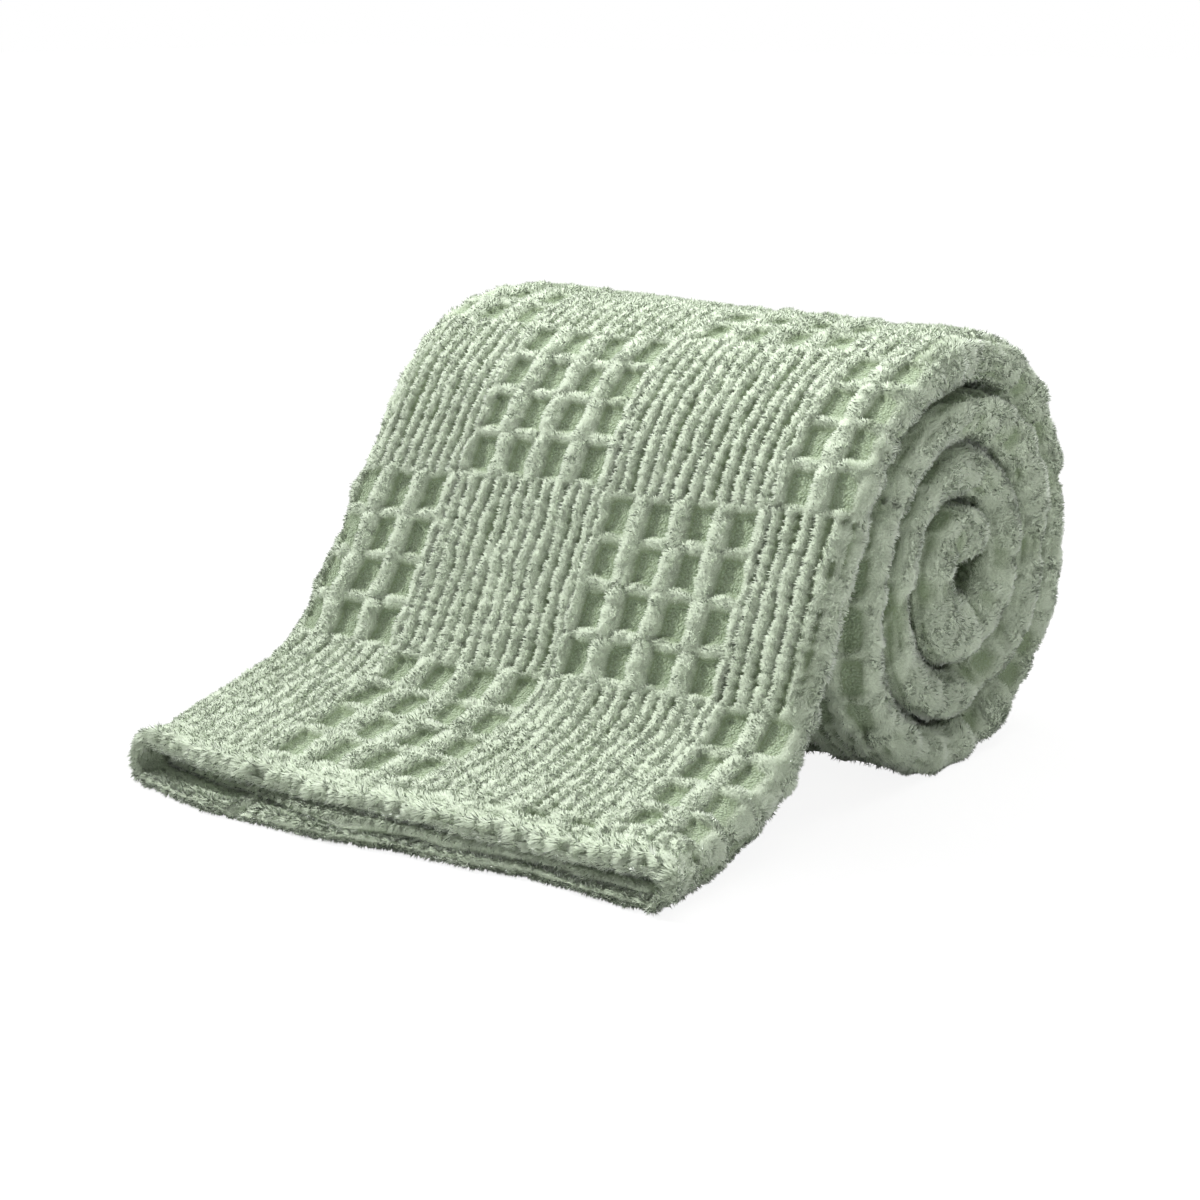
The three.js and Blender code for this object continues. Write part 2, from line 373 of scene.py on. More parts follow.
def hem_distance(path, along, nominal, ring):
    """How far from the roll each point of the free end lies, with its uneven hem."""
    folds = path.folds
    even = 1 - smooth(along, 0, folds.reach)
    across = nominal / MM
    forward = read_table(HEM, across, "forward") + read_table(HEM, across, "lower") * ring.lower
    by_meeting = (ring.lower == 1) & (ring.behind > 0) & (ring.side > 0)
    eased = 1 - smooth(nominal, -folds.meeting, -folds.meeting_ends)
    behind = ring.behind + by_meeting * folds.meeting_back * eased
    behind = behind * (1 - smooth(along, 0, folds.setback_reach))
    return path.free - along + forward * even - behind


def hem_sag(folds, along, nominal, ring):
    """How far the top ply sags at the hem as a lip, less its billow behind the hem."""
    lip = 1 - smooth(along, 0, folds.lip)
    swell = ease(along, 0, 50) * (1 - ease(along, 60, 130))
    swell = swell * (folds.billow + folds.far_billow * (1 - smooth(nominal, -folds.width / 2, 0)))
    return (read_table(HEM, nominal / MM, "sag") * lip - swell) * np.maximum(0, ring.upper)


def place(path, along, ring):
    """Points of the folded cloth: rows at distances from the hem, columns round the ring."""
    folds = path.folds
    along = along[:, None]
    turned = np.interp(along - path.free, path.wound, path.angles)
    nominal = across_at(path, ring, (along - path.free) / path.free)
    distance = hem_distance(path, along, nominal, ring)
    free = along < path.free
    turn = np.where(free, -distance / path.free, (turned - folds.leave) / (2 * math.pi))
    x = across_at(path, ring, turn)
    on_free_end = free_end_at(path, np.maximum(distance, 0))
    on_winding = winding_at(path, turned + 0 * x)
    y, z, heading = (np.where(free, a, b) for a, b in zip(on_free_end, on_winding))
    depth = ring.depth + np.where(free, hem_sag(folds, along, nominal, ring), 0)
    y, z = y + depth * np.sin(heading), np.maximum(0, z - depth * np.cos(heading))
    near_front = ease(-y, 20, 110) * ease(z, 60, 150)
    far_top = ease(-x, -60, 160) * ease(z, 110, 215)
    low_front = ease(-y, -40, 30) * (1 - ease(z, 50, 110)) * (along > path.free)
    low_front = folds.low_front * low_front * ease(x, -40, 100)
    y = y - folds.near_fullness * x * near_front - low_front
    z = np.maximum(0, z + folds.far_fullness * far_top - low_front)
    return np.stack([x, y, z], -1)


# --- the ring of plies


def side_arc(path, inset, cuts):
    """A face of a side fold, from the top ply round to the bottom one."""
    radius = path.fold_radius - inset
    fuller_above = 0.15
    columns = []
    for turned in np.radians(np.linspace(90, -90, cuts + 1)):
        out, up = math.cos(turned), math.sin(turned)
        columns.append(dict(
            arc=1, fold=1, upper=up, bend=out,
            past=radius * out * (1 + fuller_above * up),
            depth=path.fold_radius - radius * up,
            u=path.flat_edge + path.fold_radius * (math.pi / 2 - turned),
        ))
    return columns


def complete(column):
    """A column with every value. Plies below the top one reach forward with the lowest."""
    nothing = dict(arc=0, fold=0, past=0, depth=0, upper=0, behind=0, u=0, bend=0)
    return {**nothing, "lower": (1 - column.get("upper", 0)) / 2, **column}


def spread(first, last, cuts):
    """Even steps from one column to another, without the first."""
    keys = ("fold", "past", "depth", "upper", "behind", "lower", "u")
    first, last = ({k: complete(c)[k] for k in keys} for c in (first, last))
    steps = [(n + 1) / cuts for n in range(cuts)]
    return [{k: first[k] + (last[k] - first[k]) * s for k in keys} for s in steps]


def half_ring(path, meeting, setbacks, first, step):
    """Half of the outline of the folded cloth, seen along it: its face and its back."""
    folds = path.folds
    ply_step = folds.ply + folds.ply_gap
    edge = meeting + folds.meeting_gap / 2
    turn_back = edge + folds.meeting_round
    inner_edge = edge + folds.ply
    stack = path.stack
    flat = path.flat_edge
    third = stack - ply_step - folds.ply
    inner_reach = (path.fold_radius - folds.ply) * INNER_TURN - folds.ply_gap
    second_ply, third_ply = (dict(behind=b, lower=n) for n, b in enumerate(setbacks))

    tops = [dict(fold=u / flat, upper=1, u=u) for u in np.arange(first, flat - step / 4, step)]
    fold_face = side_arc(path, 0, FOLD_CUTS)
    bottom_u = fold_face[-1]["u"]
    bottom = dict(past=turn_back, depth=stack, lower=1, u=bottom_u + flat - turn_back)
    bottom_cuts = max(2, round((flat - turn_back) / (BOTTOM_CUT * MM)))
    face = [*fold_face, *spread(fold_face[-1], bottom, bottom_cuts)]
    for depth in (stack - folds.meeting_round, stack - ply_step, third + folds.meeting_round):
        face += [dict(past=edge, depth=depth, **third_ply)]
    under = dict(past=turn_back, depth=third, **third_ply)
    face += [under]
    face += spread(under, dict(fold=1, depth=third, **third_ply), PLY_CUTS)
    face += [dict(fold=1, depth=ply_step + folds.ply, **second_ply)]
    face += spread(face[-1], dict(past=edge, depth=ply_step + folds.ply, **second_ply), PLY_CUTS)

    top_back = dict(depth=folds.ply, upper=1)
    back = spread(top_back, dict(fold=1, **top_back), TOP_BACK_CUTS)[:-1]
    back += side_arc(path, folds.ply, FOLD_BACK_CUTS)
    inside = dict(past=inner_edge, depth=stack - folds.ply, lower=1)
    back_cuts = max(2, bottom_cuts // 2)
    back += spread(back[-1], inside, back_cuts)
    upon = dict(past=inner_edge, depth=stack - ply_step, **third_ply)
    back += [upon]
    back += spread(upon, dict(fold=1, depth=stack - ply_step, **third_ply), back_cuts)
    back += [dict(fold=1, past=inner_reach, depth=stack / 2, **second_ply)]
    back += [dict(fold=1, depth=ply_step, **second_ply)]
    back += spread(back[-1], dict(past=edge, depth=ply_step, **second_ply), SECOND_BACK_CUTS)
    back = [{**column, "u": 0, "bend": 0} for column in back]
    return tops, face, back


def whole_ring(path, relief):
    """The outline as arrays, from the top ply's far edge round the near side and back."""
    step = relief.block_width / TOP_CUTS
    first = relief.across % step
    folds = path.folds
    near_top, near_face, near_back = half_ring(
        path, -folds.meeting, (folds.near_second, folds.near_third), first, step)
    far_top, far_face, far_back = half_ring(
        path, folds.meeting, (folds.far_second, folds.far_third), step - first, step)
    parts = [
        ("top", far_top[::-1], -1), ("top", near_top, 1), ("face", near_face, 1),
        ("back", near_back[::-1], 1), ("back", far_back, -1), ("face", far_face[::-1], -1),
    ]
    columns = [
        dict(complete(column), side=side, part=part)
        for part, some, side in parts for column in some
    ]
    ring = SimpleNamespace(count=len(columns))
    for key in columns[0]:
        setattr(ring, key, np.array([column[key] for column in columns]))
    ring.u = ring.u * ring.side
    ring.top, ring.back = ring.part == "top", ring.part == "back"
    ring.edges = np.cumsum([0] + [len(some) for _, some, _ in parts])
    ring.curved = (ring.arc > 0) & ~ring.back
    ring.woven = ~ring.back & (np.abs(ring.u) > 0)
    return ring


# --- the woven relief


def round_top(t, fullness=2.1):
    """A round bar's profile, from 1 on its crest, t = 0, to 0 at its foot, t = 1."""
    return 1 - np.clip(t, 0, 1) ** fullness


def blocks_at(relief, u, v):
    """Where points lie on the board of blocks, and in their own block."""
    at = SimpleNamespace()
    at.u = (u - relief.across) / relief.block_width
    at.v = (v - relief.along - relief.skew * u) / relief.block_length
    at.column, at.row = np.floor(at.u), np.floor(at.v)
    at.in_u, at.in_v = at.u - at.column, at.v - at.row
    at.squared = (at.column + at.row) % 2 == 1
    return at


def waffle(relief, at, u, v):
    """Squares between round ridges: the height, and how far a point is in a square."""
    cell = np.floor(at.u * relief.squares) * 7 + np.floor(at.v * relief.squares) * 13
    wall = 0.5 * MM

    def past_square(within, block, square, uneven):
        """How far past a square's edge, and how far up the ridge beside it."""
        pitch = block / relief.squares
        half = square / 2 * (1 + uneven)
        past = np.abs(((within * relief.squares) % 1 - 0.5) * pitch) - half
        return past, np.clip(past / (pitch / 2 - half), 0, 1)

    uneven_u = 0.08 * noise(cell * 0.37, cell * 0.71, 3)
    uneven_v = 0.06 * noise(cell * 0.53, cell * 0.29, 4)
    past_u, on_u = past_square(at.in_u, relief.block_width, relief.square_width, uneven_u)
    past_v, on_v = past_square(at.in_v, relief.block_length, relief.square_length, uneven_v)
    inside = (1 - smooth(past_u, -wall, wall)) * (1 - smooth(past_v, -wall, wall))
    waist = 0.9 * MM * smooth(on_v, 0.2, 1)
    along_ridge = 0.5 * MM - relief.ridge_round * (1 - round_top(1 - on_u)) - waist
    cross_ridge = -0.8 * MM - 0.85 * relief.ridge_round * (1 - round_top(1 - on_v))
    along_ridge = np.where(past_u > 0, along_ridge, -relief.square_depth)
    cross_ridge = np.where(past_v > 0, cross_ridge, -relief.square_depth)
    beads = 0.9 * MM * lumps(u, v, 5, 3.6, 5)
    return np.maximum(along_ridge, cross_ridge) + beads * (1 - inside), inside


def ribbed(relief, at, u, v):
    """Ribs along the cloth, as rows of clumps: their height."""
    number = np.floor(at.u * relief.ribs)
    sway = 0.14 * noise(number * 3.7, v / (14 * MM), 6)
    across = np.clip(np.abs(((at.in_u * relief.ribs + sway) % 1) - 0.5) * 2, 0, 1)
    start = noise(number * 5.3, at.row * 1.7, 7)
    bead = (v / relief.bead + 2 * start + 0.35 * noise(number * 1.9, v / (11 * MM), 8)) % 1
    knot = (np.abs(bead - 0.5) * 2) ** 3
    strength = 0.62 + 0.33 * ease(v, 120, 240) + 0.2 * lumps(u, v, 19, 24, 9)
    height = -relief.rib_depth * strength * (1 - round_top(across * (1 + 0.15 * knot), 2.6))
    height = height - relief.knot_depth * knot * (0.3 + 0.7 * across**2)
    return height + 0.25 * MM * lumps(u, v, 3.2, 3.0, 10)


def weave(relief, u, v):
    """The relief's height against the pile's crest, and how far a point is in a square."""
    u, v = np.broadcast_arrays(u, v)
    u = u + 0.9 * MM * lumps(u, v, 31, 27, 1) + 0.7 * MM * lumps(u, v, 7, 6, 19)
    v = v + 1.1 * MM * lumps(u, v, 23, 35, 2) + 0.7 * MM * lumps(u, v, 6, 7, 20)
    at = blocks_at(relief, u, v)
    squares, inside = waffle(relief, at, u, v)
    height = np.where(at.squared, squares, ribbed(relief, at, u, v))
    uneven = 0.35 * MM * lumps(u, v, 9, 9, 11) + 0.6 * MM * lumps(u, v, 26, 26, 12)
    return np.maximum(height + uneven, -relief.square_depth), np.where(at.squared, inside, 0)


def hem_band(along, u):
    """Ridges along the hem, a plain band before the blocks begin."""
    wavy = along + 1.2 * MM * noise(u / (12 * MM), 0, 13)
    ridges = 0.5 + 0.5 * np.cos(wavy / (4.8 * MM) * 2 * math.pi)
    return -0.9 * MM * ridges - 0.3 * MM + 0.8 * MM * lumps(u, along, 6, 4, 14)


# --- the cloth's net


def row_places(path):
    """The rows' distances from the hem, closer where they are seen and at both ends."""
    end_rows = np.array([0, 0.2, 0.6, 1.2, 2.1, 3.2]) * MM
    return np.concatenate([
        end_rows,
        np.arange(4.4 * MM, SHOWN * MM, 1.6 * MM),
        np.arange(SHOWN * MM, TURNED_AWAY * MM, 4.8 * MM),
        np.arange(TURNED_AWAY * MM, path.total - 4 * MM, 5.0 * MM),
        path.total - end_rows[::-1],
    ])


def surface(net, relief, v):
    """The height round the ring, and how far each point is in a sunken square."""
    ring = net.ring
    u = ring.u[None, :]
    height, sunk = weave(relief, u, v)
    band = 1 - ease(v, 14, 18)
    height = height * (1 - band) + hem_band(v, u) * band
    sunk = sunk * (1 - band)
    plain = 0.9 * MM * lumps(u, v, 7, 6, 15) - 0.6 * MM
    fold = ring.side * 5
    pucker = 2.2 * MM * noise(v / (15 * MM), fold + ring.bend * 1.5, 17)
    pucker = pucker + 1.3 * MM * noise(v / (6 * MM), fold + ring.bend * 2.5, 18)
    furry = ring.bend * (0.2 + 0.4 * net.wound)
    height = height * (1 - furry) + (plain * 0.3 + pucker) * ring.bend
    thinnest = 1.1 * MM - net.path.folds.ply
    on_back = 0.3 * MM * noise(np.arange(ring.count) / 2.1, v / (9 * MM), 16) + 0.15 * MM
    height = np.where(ring.woven, np.maximum(height, thinnest), on_back)
    return height, np.where(ring.woven, sunk * (1 - furry), 0)


def rounded_ends(net, v):
    """The hem's puff less the rounding of both ends, and how near a point is to an end."""
    folds, ring = net.path.folds, net.ring
    puff = folds.puff * (1 - smooth(v, 3 * MM, folds.puff_length)) * np.maximum(0, ring.upper)
    half = folds.ply / 2 + np.where(net.by_hem, puff, 0)
    within = np.clip(1 - net.from_end / half, 0, 1)
    backed = np.where(ring.back & (ring.lower == 1), 0.25, 1)
    return puff - half * (1 - np.sqrt(1 - within**2)) * backed, within


def hem_clumps(net, x, v):
    """How the hem's edge is tucked in and out, and how far its clumps stand ahead."""
    ply = np.round(net.ring.depth / net.path.folds.ply)
    tuck = 1.8 * MM * (1 - ease(v, 8, 20)) * lumps(x + v * 0.8, v, 5, 4, 21)
    clumps = noise((x + 2.4 * MM * ply) / (4.5 * MM), ply * 1.7, 22)
    ahead = (1 - ease(net.from_end, 0, 9)) * (1.6 * MM + 2.2 * MM * clumps)
    return tuck, np.where(net.by_hem, ahead, 0)


def inner_end(net, v):
    """How far the inner end bulges on as a nose, and how the cloth round it is filled."""
    path, ring = net.path, net.ring
    bulge = 1 - (ring.depth / path.stack * 2 - 1) ** 2
    nose = path.folds.nose * smooth(v, path.total - 70 * MM, path.total) * bulge
    filled = smooth(v, path.total - 260 * MM, path.total - 120 * MM) * np.maximum(0, -ring.upper)
    filled = filled * path.folds.filling * ease(ring.side * ring.fold * path.flat_edge, 60, 140)
    return nose, filled


def lattice(folds, relief):
    """The cloth's points, its normals and what each point is, rows by columns."""
    path = cloth_path(folds)
    ring = whole_ring(path, relief)
    along = row_places(path)
    net = SimpleNamespace(path=path, ring=ring, along=along)
    net.shown_rows = int(np.searchsorted(along, TURNED_AWAY * MM))
    net.fine_rows = int(np.searchsorted(along, SHOWN * MM))
    flat = place(path, along, ring)
    net.flat_normals = net_normals(flat)
    backward = unit(np.gradient(flat, axis=0))

    v = along[:, None]
    x = ring.side * (ring.fold * path.flat_edge + ring.past)
    net.wound = smooth(v, path.free, path.free + 40 * MM)
    net.from_end = np.minimum(v, path.total - v)
    net.by_hem = net.from_end == v
    net.height, net.sunk = surface(net, relief, v)
    # The plies' backs, away from the hem, are lowered only in the heights that the colour follows,
    # as painted shade between the plies
    net.shade_height = net.height - 2.5 * MM * (~ring.woven * ease(v, 12, 40))
    # Painted shade in the valleys between the turns at the roll's ends
    net.valley = np.broadcast_to(net.wound * ring.arc * (1 - ring.bend) ** 2, net.height.shape)

    rounded, within = rounded_ends(net, v)
    tuck, ahead = hem_clumps(net, x, v)
    nose, filled = inner_end(net, v)
    lowered = 0.6 * MM * ring.woven
    out = (net.height - lowered + tuck) * (1 - 0.6 * within) + rounded + filled
    points = flat + net.flat_normals * out[..., None] + backward * (nose - ahead)[..., None]
    points[..., 2] = np.maximum(points[..., 2], LOWEST)
    middle = (flat.reshape(-1, 3).min(0) + flat.reshape(-1, 3).max(0)) / 2
    net.points = points - np.array([middle[0], middle[1], 0])
    net.normals = net_normals(net.points)
    net.runs = unit(np.gradient(net.points, axis=0))
    across = np.where(ring.woven, ring.u, x + 3 * ring.depth)
    net.u, net.v = np.broadcast_arrays(across[None, :], v)
    return net


def unit(vectors):
    return vectors / np.maximum(np.linalg.norm(vectors, axis=-1, keepdims=True), 1e-12)


def net_normals(points):
    """Outward normals of a net whose columns close into a ring."""
    around = np.roll(points, -1, 1) - np.roll(points, 1, 1)
    onward = np.gradient(points, axis=0)
    return unit(np.cross(around, onward))


# --- meshes


def new_object(name, mesh):
    for old in [o for o in bpy.data.objects if o.name == name]:
        bpy.data.objects.remove(old)
    piece = bpy.data.objects.new(name, mesh)
    bpy.context.scene.collection.objects.link(piece)
    return piece


def strand_mesh(name, corners, normals):
    """Strands, each two narrow faces from three roots to a tip, with soft normals."""
    count = len(corners)
    flanks = np.array([[0, 1, 3], [1, 2, 3]], np.int32)
    loops = (np.arange(count, dtype=np.int32)[:, None, None] * 4 + flanks).ravel()
    mesh = bpy.data.meshes.new(name)
    mesh.vertices.add(4 * count)
    mesh.vertices.foreach_set("co", corners.astype(np.float32).ravel())
    mesh.loops.add(len(loops))
    mesh.loops.foreach_set("vertex_index", loops)
    mesh.polygons.add(2 * count)
    mesh.polygons.foreach_set("loop_start", np.arange(0, len(loops), 3, dtype=np.int32))
    mesh.update(calc_edges=True)
    mesh.shade_smooth()
    mesh.normals_split_custom_set_from_vertices(normals.reshape(-1, 3).astype(np.float32))
    return mesh


def add_values(mesh, name, values):
    layer = mesh.attributes.new(name, "FLOAT", "POINT")
    layer.data.foreach_set("value", np.ravel(values).astype(np.float32))


def add_map(mesh, places):
    """A UV map from one place for each vertex."""
    corner = np.zeros(len(mesh.loops), np.int32)
    mesh.loops.foreach_get("vertex_index", corner)
    layer = mesh.uv_layers.new(name="OFBake")
    layer.data.foreach_set("uv", places[corner].astype(np.float32).ravel())


def strides(start, end, step):
    """Cuts from start to end, a step apart, with the last one at the end."""
    return list(range(start, end, step)) + [end]


def net_cells(net):
    """Cells of the net, coarse where the plies hide it, as row and column ranges."""
    rows, count = len(net.along) - 1, net.ring.count
    shown, fine = net.shown_rows, net.fine_rows
    top_end = int(net.ring.edges[2])
    near, far = (np.flatnonzero(net.ring.curved & (net.ring.side == side)) for side in (1, -1))
    near_end, far_start = int(near[-1]), int(far[0])
    hem_rows, end_rows = 14, 6
    last_rows = list(range(rows - end_rows + 1, rows + 1))
    cells = []

    def tile(row_cuts, column_cuts):
        for some_rows in zip(row_cuts, row_cuts[1:]):
            cells.extend((*some_rows, *some) for some in zip(column_cuts, column_cuts[1:]))

    tile(strides(0, fine, 1), strides(0, top_end - 1, 1))
    tile(strides(fine, shown, 1), strides(0, top_end - 1, 3))
    tile(strides(shown, rows - end_rows, 1) + last_rows, strides(0, top_end - 1, 12))
    for first, last, step in ((top_end - 1, near_end, 1), (far_start, count, 2)):
        tile(strides(0, fine, 2) + strides(fine + step, rows, step), strides(first, last, 1))
    hidden_rows = strides(0, hem_rows, 1)[:-1] + strides(hem_rows, rows - end_rows, 6) + last_rows
    tile(hidden_rows, strides(near_end, far_start, 1))
    return cells


def net_faces(net):
    """Faces round the cells, with every corner that a neighbour uses on their border."""
    count = net.ring.count
    cells = net_cells(net)
    used = np.zeros((len(net.along), count), bool)
    for a, b, c, d in cells:
        for row in (a, b):
            used[row, c % count] = used[row, d % count] = True
    faces = []
    for a, b, c, d in cells:
        loop = [(a, n) for n in range(c, d)] + [(n, d) for n in range(a, b)]
        loop += [(b, n) for n in range(d, c, -1)] + [(n, c) for n in range(b, a, -1)]
        faces.append([row * count + n % count for row, n in loop if used[row, n % count]])
    return faces, used


def zipped(first, second, points):
    """Two rows of corners zipped into triangles by the shorter diagonal."""
    faces, a, b = [], 0, 0

    def gap(p, q):
        return np.sum((points[first[p]] - points[second[q]]) ** 2)

    while a < len(first) - 1 or b < len(second) - 1:
        if b == len(second) - 1 or (a < len(first) - 1 and gap(a + 1, b) < gap(a, b + 1)):
            faces.append([first[a], first[a + 1], second[b]])
            a += 1
        else:
            faces.append([first[a], second[b + 1], second[b]])
            b += 1
    return faces


def end_faces(net, used, row, points):
    """The cut end of the cloth, closed between its face and its back."""
    count = net.ring.count
    _, middle, _, near_back_start, far_back_start, far_face_start, _ = map(int, net.ring.edges)

    def corners(order):
        return [row * count + n % count for n in order if used[row, n % count]]

    near_face = corners(range(middle, near_back_start))
    near_back = corners(range(far_back_start - 1, near_back_start - 1, -1))
    far_face = corners([*range(middle, -1, -1), *range(count - 1, far_face_start - 1, -1)])
    far_back = corners(range(far_back_start - 1, far_face_start))
    near = [face[::-1] for face in zipped(near_face, near_back, points)]
    faces = near + zipped(far_face, far_back, points)
    return faces if row == 0 else [face[::-1] for face in faces]


def cloth_mesh(net):
    """The whole cloth as one closed mesh."""
    points = net.points.reshape(-1, 3)
    faces, used = net_faces(net)
    faces += end_faces(net, used, 0, points)
    faces += end_faces(net, used, len(net.along) - 1, points)
    keep = used.ravel()
    number = np.cumsum(keep) - 1
    mesh = bpy.data.meshes.new("throw_cloth")
    mesh.from_pydata(points[keep].tolist(), [], [[int(number[n]) for n in face] for face in faces])
    mesh.update()
    mesh.shade_smooth()
    add_values(mesh, "sunk", net.sunk.ravel()[keep])
    # The heights that the colour follows, which carry painted shade on low relief and on the
    # plies' backs
    add_values(mesh, "height", (net.shade_height / MM).ravel()[keep])
    rows, columns = (np.linspace(0.002, 0.998, number) for number in net.sunk.shape)
    places = np.stack(np.meshgrid(columns, rows), -1).reshape(-1, 2)
    add_map(mesh, places[keep])
    return mesh


# --- the pile


def scatter(net, pick, number, seed):
    """Places spread evenly over the picked cells, as a reader of the net's values."""
    right = np.roll(net.points, -1, 1) - net.points
    onward = np.diff(net.points, axis=0)
    area = np.linalg.norm(np.cross(right[:-1], onward), axis=-1) * pick
    rng = np.random.default_rng(seed)
    total = np.cumsum(area.ravel())
    cell = np.searchsorted(total, rng.uniform(0, total[-1], number))
    row, column = np.divmod(cell, net.ring.count)
    s, t = rng.uniform(size=(2, number))
    after = (column + 1) % net.ring.count

    def mixed(values):
        extra = (1,) * (values.ndim - 2)
        a, b = s.reshape(-1, *extra), t.reshape(-1, *extra)
        low = values[row, column] * (1 - a) + values[row, after] * a
        high = values[row + 1, column] * (1 - a) + values[row + 1, after] * a
        return low * (1 - b) + high * b

    return mixed, rng


def strand_shape(net, pile, way, mixed, rng, number, seed):
    """How the strands lean across and along the cloth, how tall they are, and how pale, with
    painted shade.
    """
    longer, swirl, bunch = way
    u, v = mixed(net.u), mixed(net.v)
    sunk = smooth(mixed(net.sunk), 0.3, 0.9)
    crest = smooth(mixed(net.height), CREST_FOOT, CREST_TOP)

    def clump(kind, wide):
        return lumps(u, v, wide, wide, seed + kind)

    clump_size = 3.5 + 2.5 * swirl
    stray = 0.1 + 0.12 * swirl
    lean_u = swirl * clump(1, clump_size) + stray * rng.normal(size=number)
    lean_v = swirl * clump(2, clump_size) - 0.2 + stray * rng.normal(size=number)
    tone_and_shade = 0.97 + 0.06 * clump(3, 9) + 0.05 * rng.normal(size=number)
    # Painted shade where the relief is low and in the valleys between the roll's turns
    tone_and_shade = tone_and_shade - 0.8 * (1 - crest) * (1 - sunk) - 0.7 * mixed(net.valley)
    tall = pile.tall * (0.2 + 0.8 * crest) * (1 - sunk) + pile.short * sunk
    tall = tall * longer * rng.uniform(0.7, 1.1, number) * (1 + 0.3 * clump(4, 3.0))
    if bunch:
        faces = np.broadcast_to(np.where(net.ring.woven, 1.0, -1.0), net.u.shape)
        face = np.sign(mixed(faces))
        turns = (u + 0.5 * face * v) / (bunch * MM) + 0.3 * clump(5, 14)
        off_middle = 2 * (turns % 1) - 1
        lean_u = 0.4 * lean_u - 1.1 * off_middle + 0.7 * face
        lean_v = 0.5 * lean_v - 0.8
        tall = tall * (1.15 - 0.6 * off_middle**2)
        # Painted shade between the hem's tufts, towards each tuft's edges
        tone_and_shade = tone_and_shade - 0.6 * np.abs(off_middle) ** 3
    # Painted shade in the sunken squares
    return lean_u[:, None], lean_v[:, None], tall[:, None], np.clip(tone_and_shade - 0.35 * sunk, 0, 1)


def pile_mesh(name, net, pile, pick, seed):
    """Strands of cut pile on the picked part of the cloth, in clumps."""
    strands, *way = PILE[name]
    number = int(strands * pile.amount)
    mixed, rng = scatter(net, pick, number, seed)
    root = mixed(net.points)
    normal = unit(mixed(net.normals))
    upright = unit(mixed(net.flat_normals))
    run = unit(mixed(net.runs))
    cross = unit(np.cross(normal, run))
    lean_u, lean_v, tall, tone_and_shade = strand_shape(net, pile, way, mixed, rng, number, seed)
    outward = normal - upright * np.sum(normal * upright, -1, keepdims=True)
    direction = unit(normal + 0.8 * outward + pile.lean * (lean_u * cross + lean_v * run))
    side = unit(np.cross(direction, normal + 0.6 * rng.normal(size=(number, 3))))
    facing = np.cross(side, direction)
    facing = facing * np.sign(np.sum(facing * normal, -1, keepdims=True))
    side = np.cross(direction, facing)
    girth = pile.width / 2 * rng.uniform(0.75, 1.25, number)[:, None]
    base = root - normal * 0.3 * MM
    tip = root + direction * tall
    ridge = base + facing * girth * 1.4
    corners = np.stack([base - side * girth, ridge, base + side * girth, tip], 1)
    corners[..., 2] = np.maximum(corners[..., 2], LOWEST_STRAND)
    soft = [unit(normal + 0.12 * turned) for turned in (-side, facing, side, direction)]
    mesh = strand_mesh(name, corners, np.stack(soft, 1))
    # Each strand's tone and painted shade, at its four corners
    tones = np.repeat(tone_and_shade, 4)
    add_values(mesh, "tip", np.tile([0.0, 0.0, 0.0, 1.0], number))
    add_values(mesh, "tone_and_shade", tones)
    along = np.tile([0.02, 0.02, 0.02, 0.98], number)
    across = 0.02 + 0.92 * tones + np.tile([0, 0.02, 0.04, 0.02], number)
    add_map(mesh, np.stack([along, across], -1))
    return mesh


# --- materials


class Socket:
    """A shader socket that takes part in Python expressions."""

    def __init__(self, tree, output):
        self.tree, self.output = tree, output

    def node(self, kind, settings=(), output=0, **values):
        made = self.tree.nodes.new("ShaderNode" + kind)
        for key, value in dict(settings).items():
            setattr(made, key, value)
        for key, value in values.items():
            named = [s for s in made.inputs if s.name == key.replace("_", " ") and s.enabled]
            socket = named[0] if named else made.inputs[int(key.strip("in"))]
            if isinstance(value, Socket):
                self.tree.links.new(value.output, socket)
            elif socket.type == "RGBA":
                socket.default_value = (*value[:3], 1)
            else:
                socket.default_value = value
        return None if output is None else Socket(self.tree, made.outputs[output])

    def math(self, operation, first, second):
        return self.node("Math", {"operation": operation}, in0=first, in1=second)

    def __add__(self, other):
        return self.math("ADD", self, other)

    __radd__ = __add__

    def __sub__(self, other):
        return self.math("SUBTRACT", self, other)

    def __rsub__(self, other):
        return self.math("SUBTRACT", other, self)

    def __mul__(self, other):
        return self.math("MULTIPLY", self, other)

    __rmul__ = __mul__

    def values(self, name):
        """The mesh's values of that name."""
        return self.node("Attribute", {"attribute_name": name}, 2)

    def clamped(self):
        return self.node("Clamp", Value=self)

    def ramp(self, low, high):
        """From 0 at low to 1 at high, eased."""
        return self.node(
            "MapRange", {"interpolation_type": "SMOOTHSTEP"},
            Value=self, From_Min=low, From_Max=high,
        )

    def blend(self, first, second):
        """From the first colour to the second by this mask."""
        return self.node(
            "Mix", {"data_type": "RGBA"}, 2, in0=self, in6=first, in7=second,
        )


def new_material(name, viewport):
    material = bpy.data.materials.new(name)
    material.use_nodes = True
    material.diffuse_color = (*viewport, 1)
    material.node_tree.nodes.clear()
    return material, Socket(material.node_tree, None)


def finish(maker, shader, kind="Material"):
    """Lead a shader into its material's or world's output."""
    maker.node("Output" + kind, output=None, Surface=shader)


